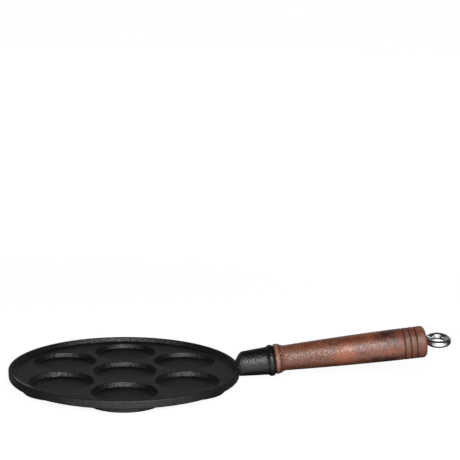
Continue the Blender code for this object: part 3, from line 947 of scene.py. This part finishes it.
def walnut_finish(casting, handle):
    """Oiled walnut with its grain along the handle: streaks, fibres, pores, a curly figure and stains."""
    finish, tree, shader = new_finish("walnut_finish")
    world = add(tree, "ShaderNodeTexCoord").outputs["Object"]
    start = (pan_radius(casting), 0.0, rim_top(casting) + handle.above_rim)
    turn = (0.0, -handle.slope, 0.0)
    place = add(tree, "ShaderNodeMapping", {"Vector": world, "Location": start, "Rotation": turn},
                vector_type="TEXTURE").outputs["Vector"]
    along, _, up = add(tree, "ShaderNodeSeparateXYZ", {"Vector": place}).outputs
    streaks, fibres, pores, curls, patches = (drawn_out(tree, place, *pattern) for pattern in WOOD_PATTERNS)
    pores = ramp(tree, pores, *PORE_EDGE)
    figure = slanted_figure(tree, along, up, curls, patches)
    tone = weighted(tree, (streaks, 0.42), (curls, 0.30), (patches, 0.34), (fibres, 0.10), (figure, 0.14))
    uneven = maths(tree, "MULTIPLY_ADD", curls, 2.0, maths(tree, "SUBTRACT", patches, 1.5))
    begin = handle_start(casting)
    body = blended(tree, ramp(tree, tone, *LIGHT_TONES), shade_of(handle.wood_mid),
                   shade_of(handle.wood_light))
    # Layers over it: where they lie, how much they cover there, their colour and how bright it is
    for where, cover, wood, brightness in (
            (ramp(tree, tone, *DARK_TONES), 0.80, handle.wood_dark, 1.00),
            (stains(tree, place, uneven, RED_STAINS), 1.00, handle.wood_red, 1.00),
            (stains(tree, place, uneven, DARK_STAINS), 1.00, handle.wood_dark, 0.75),
            (pores, 0.45, handle.wood_dark, 0.60),
            # Painted highlight on the bead's crest, then painted shade in the hollow behind it
            (ring_line(tree, along, begin + CREST_HIGHLIGHT_PLACE, CREST_HIGHLIGHT_WIDTH), 0.55, handle.wood_crest_highlight, 1.00),
            (ring_line(tree, along, begin + HOLLOW_SHADE_PLACE, HOLLOW_SHADE_WIDTH), 0.60, handle.wood_dark, 0.60),
            (groove_lines(tree, along, casting, handle), 0.85, handle.wood_dark, 0.35)):
        body = blended(tree, product(tree, where, cover), body, shade_of(wood, brightness))
    feed(tree, shader, {
        "Base Color": body,
        "Roughness": product(
            tree, ramp(tree, weighted(tree, (fibres, 0.5), (curls, 0.5)), *WOOD_HAZE, *WOOD_ROUGHNESS),
            ramp(tree, along, DULL_FROM, DULL_FULL, 1.0, DULL_SHARE)),
        "Specular IOR Level": WOOD_GLOSS,
        "Normal": relief(tree, (weighted(tree, (curls, 1.0), (figure, 0.20)), *CURL_RELIEF),
                         (fibres, *FIBRE_RELIEF), (maths(tree, "SUBTRACT", 1.0, pores), *PORE_RELIEF))})
    return finish


def steel_finish(eye):
    """Bright plated steel with a little haze and faint rubbing marks."""
    finish, tree, shader = new_finish("bright_steel_finish")
    place = add(tree, "ShaderNodeTexCoord").outputs["Object"]
    haze = noise(tree, place, *STEEL_HAZE)
    rubs = drawn_out(tree, place, *STEEL_RUBS)
    feed(tree, shader, {
        "Base Color": blended(tree, ramp(tree, haze, *DULL_PLACES), shade_of(eye.steel_colour),
                              shade_of(eye.steel_colour, DULL_STEEL)),
        "Metallic": 1.0,
        "Roughness": ramp(tree, weighted(tree, (rubs, 0.4), (haze, 0.6)), *STEEL_ROUGHNESS),
        "Normal": relief(tree, (haze, *STEEL_RELIEF))})
    return finish


def settings_of(scene):
    """The settings of the casting, the handle and the eye."""
    return scene.plett_casting, scene.plett_handle, scene.plett_eye


class PLETT_OT_cast_pan(bpy.types.Operator):
    """Models the iron casting: disc, cups, wells and socket, the hollow in the rim and the handle's hole"""
    bl_idname = "plett.cast_pan"
    bl_label = "Cast the pan"
    bl_options = {"REGISTER", "UNDO"}

    def execute(self, context):
        casting, handle, eye = settings_of(context.scene)
        pan = make_disc(casting)
        combine(pan, "UNION", make_cups(casting))
        combine(pan, "DIFFERENCE", make_wells(casting))
        combine(pan, "UNION", [make_socket(casting, handle)])
        combine(pan, "DIFFERENCE", [make_cavity(casting)])
        combine(pan, "DIFFERENCE", [make_socket_hole(casting, handle, eye)])
        finish_piece(pan, "pan_casting", iron_finish(casting))
        return {"FINISHED"}


class PLETT_OT_turn_handle(bpy.types.Operator):
    """Models the turned wooden handle with its bore and tenon"""
    bl_idname = "plett.turn_handle"
    bl_label = "Turn the handle"
    bl_options = {"REGISTER", "UNDO"}

    def execute(self, context):
        casting, handle, eye = settings_of(context.scene)
        body = make_handle_body(casting, handle, eye)
        finish_piece(body, "wooden_handle", walnut_finish(casting, handle))
        return {"FINISHED"}


class PLETT_OT_bend_eye(bpy.types.Operator):
    """Models the steel rod with its thread and its bent hanging eye"""
    bl_idname = "plett.bend_eye"
    bl_label = "Bend the eye"
    bl_options = {"REGISTER", "UNDO"}

    def execute(self, context):
        casting, handle, eye = settings_of(context.scene)
        rod = make_rod(casting, handle, eye)
        combine(rod, "UNION", [make_wire_ring(casting, handle, eye)])
        combine(rod, "UNION", [make_thread(casting, handle, eye)])
        lay_on_line(rod, casting, handle)
        finish_piece(rod, "eye_rod", steel_finish(eye))
        return {"FINISHED"}


def make_floor(stage):
    """A wide pale floor that looks white to the camera and keeps the pan's shadow. Metal sees through it."""
    bpy.ops.object.select_all(action="DESELECT")
    bpy.ops.mesh.primitive_plane_add(size=FLOOR_SIZE)
    floor = bpy.context.object
    floor.name = "studio_floor"
    paint, tree, shader = new_finish("floor_paint")
    tree.nodes.remove(shader)
    place = add(tree, "ShaderNodeTexCoord").outputs["Object"]
    away = add(tree, "ShaderNodeVectorMath", {0: place}, operation="LENGTH").outputs["Value"]
    white = ramp(tree, away, FLOOR_NEAR, FLOOR_FAR, stage.floor_glow, 1.0, smooth=True)
    path = add(tree, "ShaderNodeLightPath").outputs
    pale = add(tree, "ShaderNodeBsdfDiffuse", {"Color": shade_of(stage.floor_colour)})
    glow = add(tree, "ShaderNodeEmission", {"Strength": product(tree, seen_straight(tree, path), white)})
    both = add(tree, "ShaderNodeAddShader", {0: pale.outputs["BSDF"], 1: glow.outputs["Emission"]})
    clear = add(tree, "ShaderNodeBsdfTransparent")
    floor_look = mixed(tree, path["Is Glossy Ray"], both.outputs["Shader"], clear.outputs["BSDF"])
    feed(tree, tree.nodes["Material Output"], {"Surface": floor_look})
    floor.data.materials.append(paint)
    floor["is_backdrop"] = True


def seen_straight(tree, path):
    """One for rays that the camera sees straight or through glass, and none for the rest."""
    return largest(tree, path["Is Camera Ray"], path["Is Transmission Ray"])


def make_world(stage):
    """A white background to look at, a dark studio with a bright front in metal, and a soft fill light."""
    world = bpy.data.worlds.new("studio")
    bpy.context.scene.world = world
    world.use_nodes = True
    tree = world.node_tree
    tree.nodes.remove(tree.nodes["Background"])
    way = add(tree, "ShaderNodeTexCoord").outputs["Generated"]
    _, back, up = add(tree, "ShaderNodeSeparateXYZ", {"Vector": way}).outputs
    fill = ramp(tree, back, *FILL_DEPTHS, stage.fill_front, stage.fill_back, smooth=True)
    front = product(tree, ramp(tree, up, *FRONT_HORIZON, stage.studio_floor, stage.studio_front),
                    ramp(tree, back, *FRONT_DEPTHS, smooth=True))
    foot = product(tree, ramp(tree, up, *FOOT_TOP, stage.studio_low, 0.0, smooth=True),
                   ramp(tree, up, *FOOT_HORIZON), ramp(tree, back, *FOOT_DEPTHS, smooth=True))
    floor_behind = product(tree, ramp(tree, up, *BACK_NEAR), ramp(tree, up, *BACK_FAR),
                           ramp(tree, back, *BACK_DEPTHS, 0.0, stage.studio_back, smooth=True))
    in_metal = largest(tree, front, foot, floor_behind, stage.studio_dark)
    soft, studio, white = (
        add(tree, "ShaderNodeBackground", {"Color": WHITE, "Strength": strength}).outputs["Background"]
        for strength in (fill, in_metal, 1.0))
    path = add(tree, "ShaderNodeLightPath").outputs
    unseen = mixed(tree, path["Is Glossy Ray"], soft, studio)
    feed(tree, tree.nodes["World Output"], {"Surface": mixed(tree, seen_straight(tree, path), unseen, white)})


def make_key_light(stage):
    """A large soft light round the camera, turned towards the middle of the object."""
    low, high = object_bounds()
    middle = (low + high) / 2
    towards = Euler((-KEY_RISE, 0.0, KEY_TURN)).to_matrix() @ Vector((0.0, -1.0, 0.0))
    bpy.ops.object.light_add(type="AREA", location=middle + towards * KEY_DISTANCE)
    key = bpy.context.object
    key.name = "key_light"
    key.rotation_euler = towards.to_track_quat("Z", "Y").to_euler()
    key.data.shape = "RECTANGLE"
    key.data.size = KEY_SIZE[0]
    key.data.size_y = KEY_SIZE[1]
    key.data.energy = stage.key_power
    key.visible_camera = False


def make_camera(stage):
    """The camera at the photograph's view."""
    bpy.ops.object.camera_add(location=stage.camera_place)
    camera = bpy.context.object
    turn = Euler((0.0, 0.0, stage.camera_yaw)).to_matrix()
    tip = Euler((math.pi / 2 - stage.camera_pitch, 0.0, 0.0)).to_matrix()
    roll = Euler((0.0, 0.0, stage.camera_roll)).to_matrix()
    camera.rotation_euler = (turn @ tip @ roll).to_euler()
    camera.data.lens = stage.lens
    camera.data.clip_end = FLOOR_SIZE
    bpy.context.scene.camera = camera


class PLETT_OT_set_stage(bpy.types.Operator):
    """Sets up the floor, the white surroundings, the key light and the camera"""
    bl_idname = "plett.set_stage"
    bl_label = "Set the stage"
    bl_options = {"REGISTER", "UNDO"}

    def execute(self, context):
        stage = context.scene.plett_stage
        make_key_light(stage)
        make_floor(stage)
        make_world(stage)
        make_camera(stage)
        context.scene.view_settings.view_transform = "Standard"
        return {"FINISHED"}


GROUPS = (("plett_casting", CastingSettings), ("plett_handle", HandleSettings), ("plett_eye", EyeSettings),
          ("plett_stage", StageSettings))
OPERATORS = (PLETT_OT_cast_pan, PLETT_OT_turn_handle, PLETT_OT_bend_eye, PLETT_OT_set_stage)


class PLETT_PT_panel(bpy.types.Panel):
    """Lists the settings of each piece above the button that makes it"""
    bl_idname = "PLETT_PT_panel"
    bl_label = "Plett pan"
    bl_space_type = "VIEW_3D"
    bl_region_type = "UI"
    bl_category = "Plett pan"

    def draw(self, context):
        for (name, group), operator in zip(GROUPS, OPERATORS):
            box = self.layout.box()
            for setting in group.__annotations__:
                box.prop(getattr(context.scene, name), setting)
            box.operator(operator.bl_idname)


def register():
    """Makes the settings, operators and panel known."""
    for name, group in GROUPS:
        bpy.utils.register_class(group)
        setattr(bpy.types.Scene, name, PointerProperty(type=group))
    for made in (*OPERATORS, PLETT_PT_panel):
        bpy.utils.register_class(made)


def unregister():
    """Takes away what register made."""
    for made in (PLETT_PT_panel, *reversed(OPERATORS)):
        bpy.utils.unregister_class(made)
    for name, group in reversed(GROUPS):
        delattr(bpy.types.Scene, name)
        bpy.utils.unregister_class(group)


def main():
    """Makes every piece and the stage."""
    register()
    bpy.ops.plett.cast_pan()
    bpy.ops.plett.turn_handle()
    bpy.ops.plett.bend_eye()
    bpy.ops.plett.set_stage()


if __name__ == "__main__":
    main()
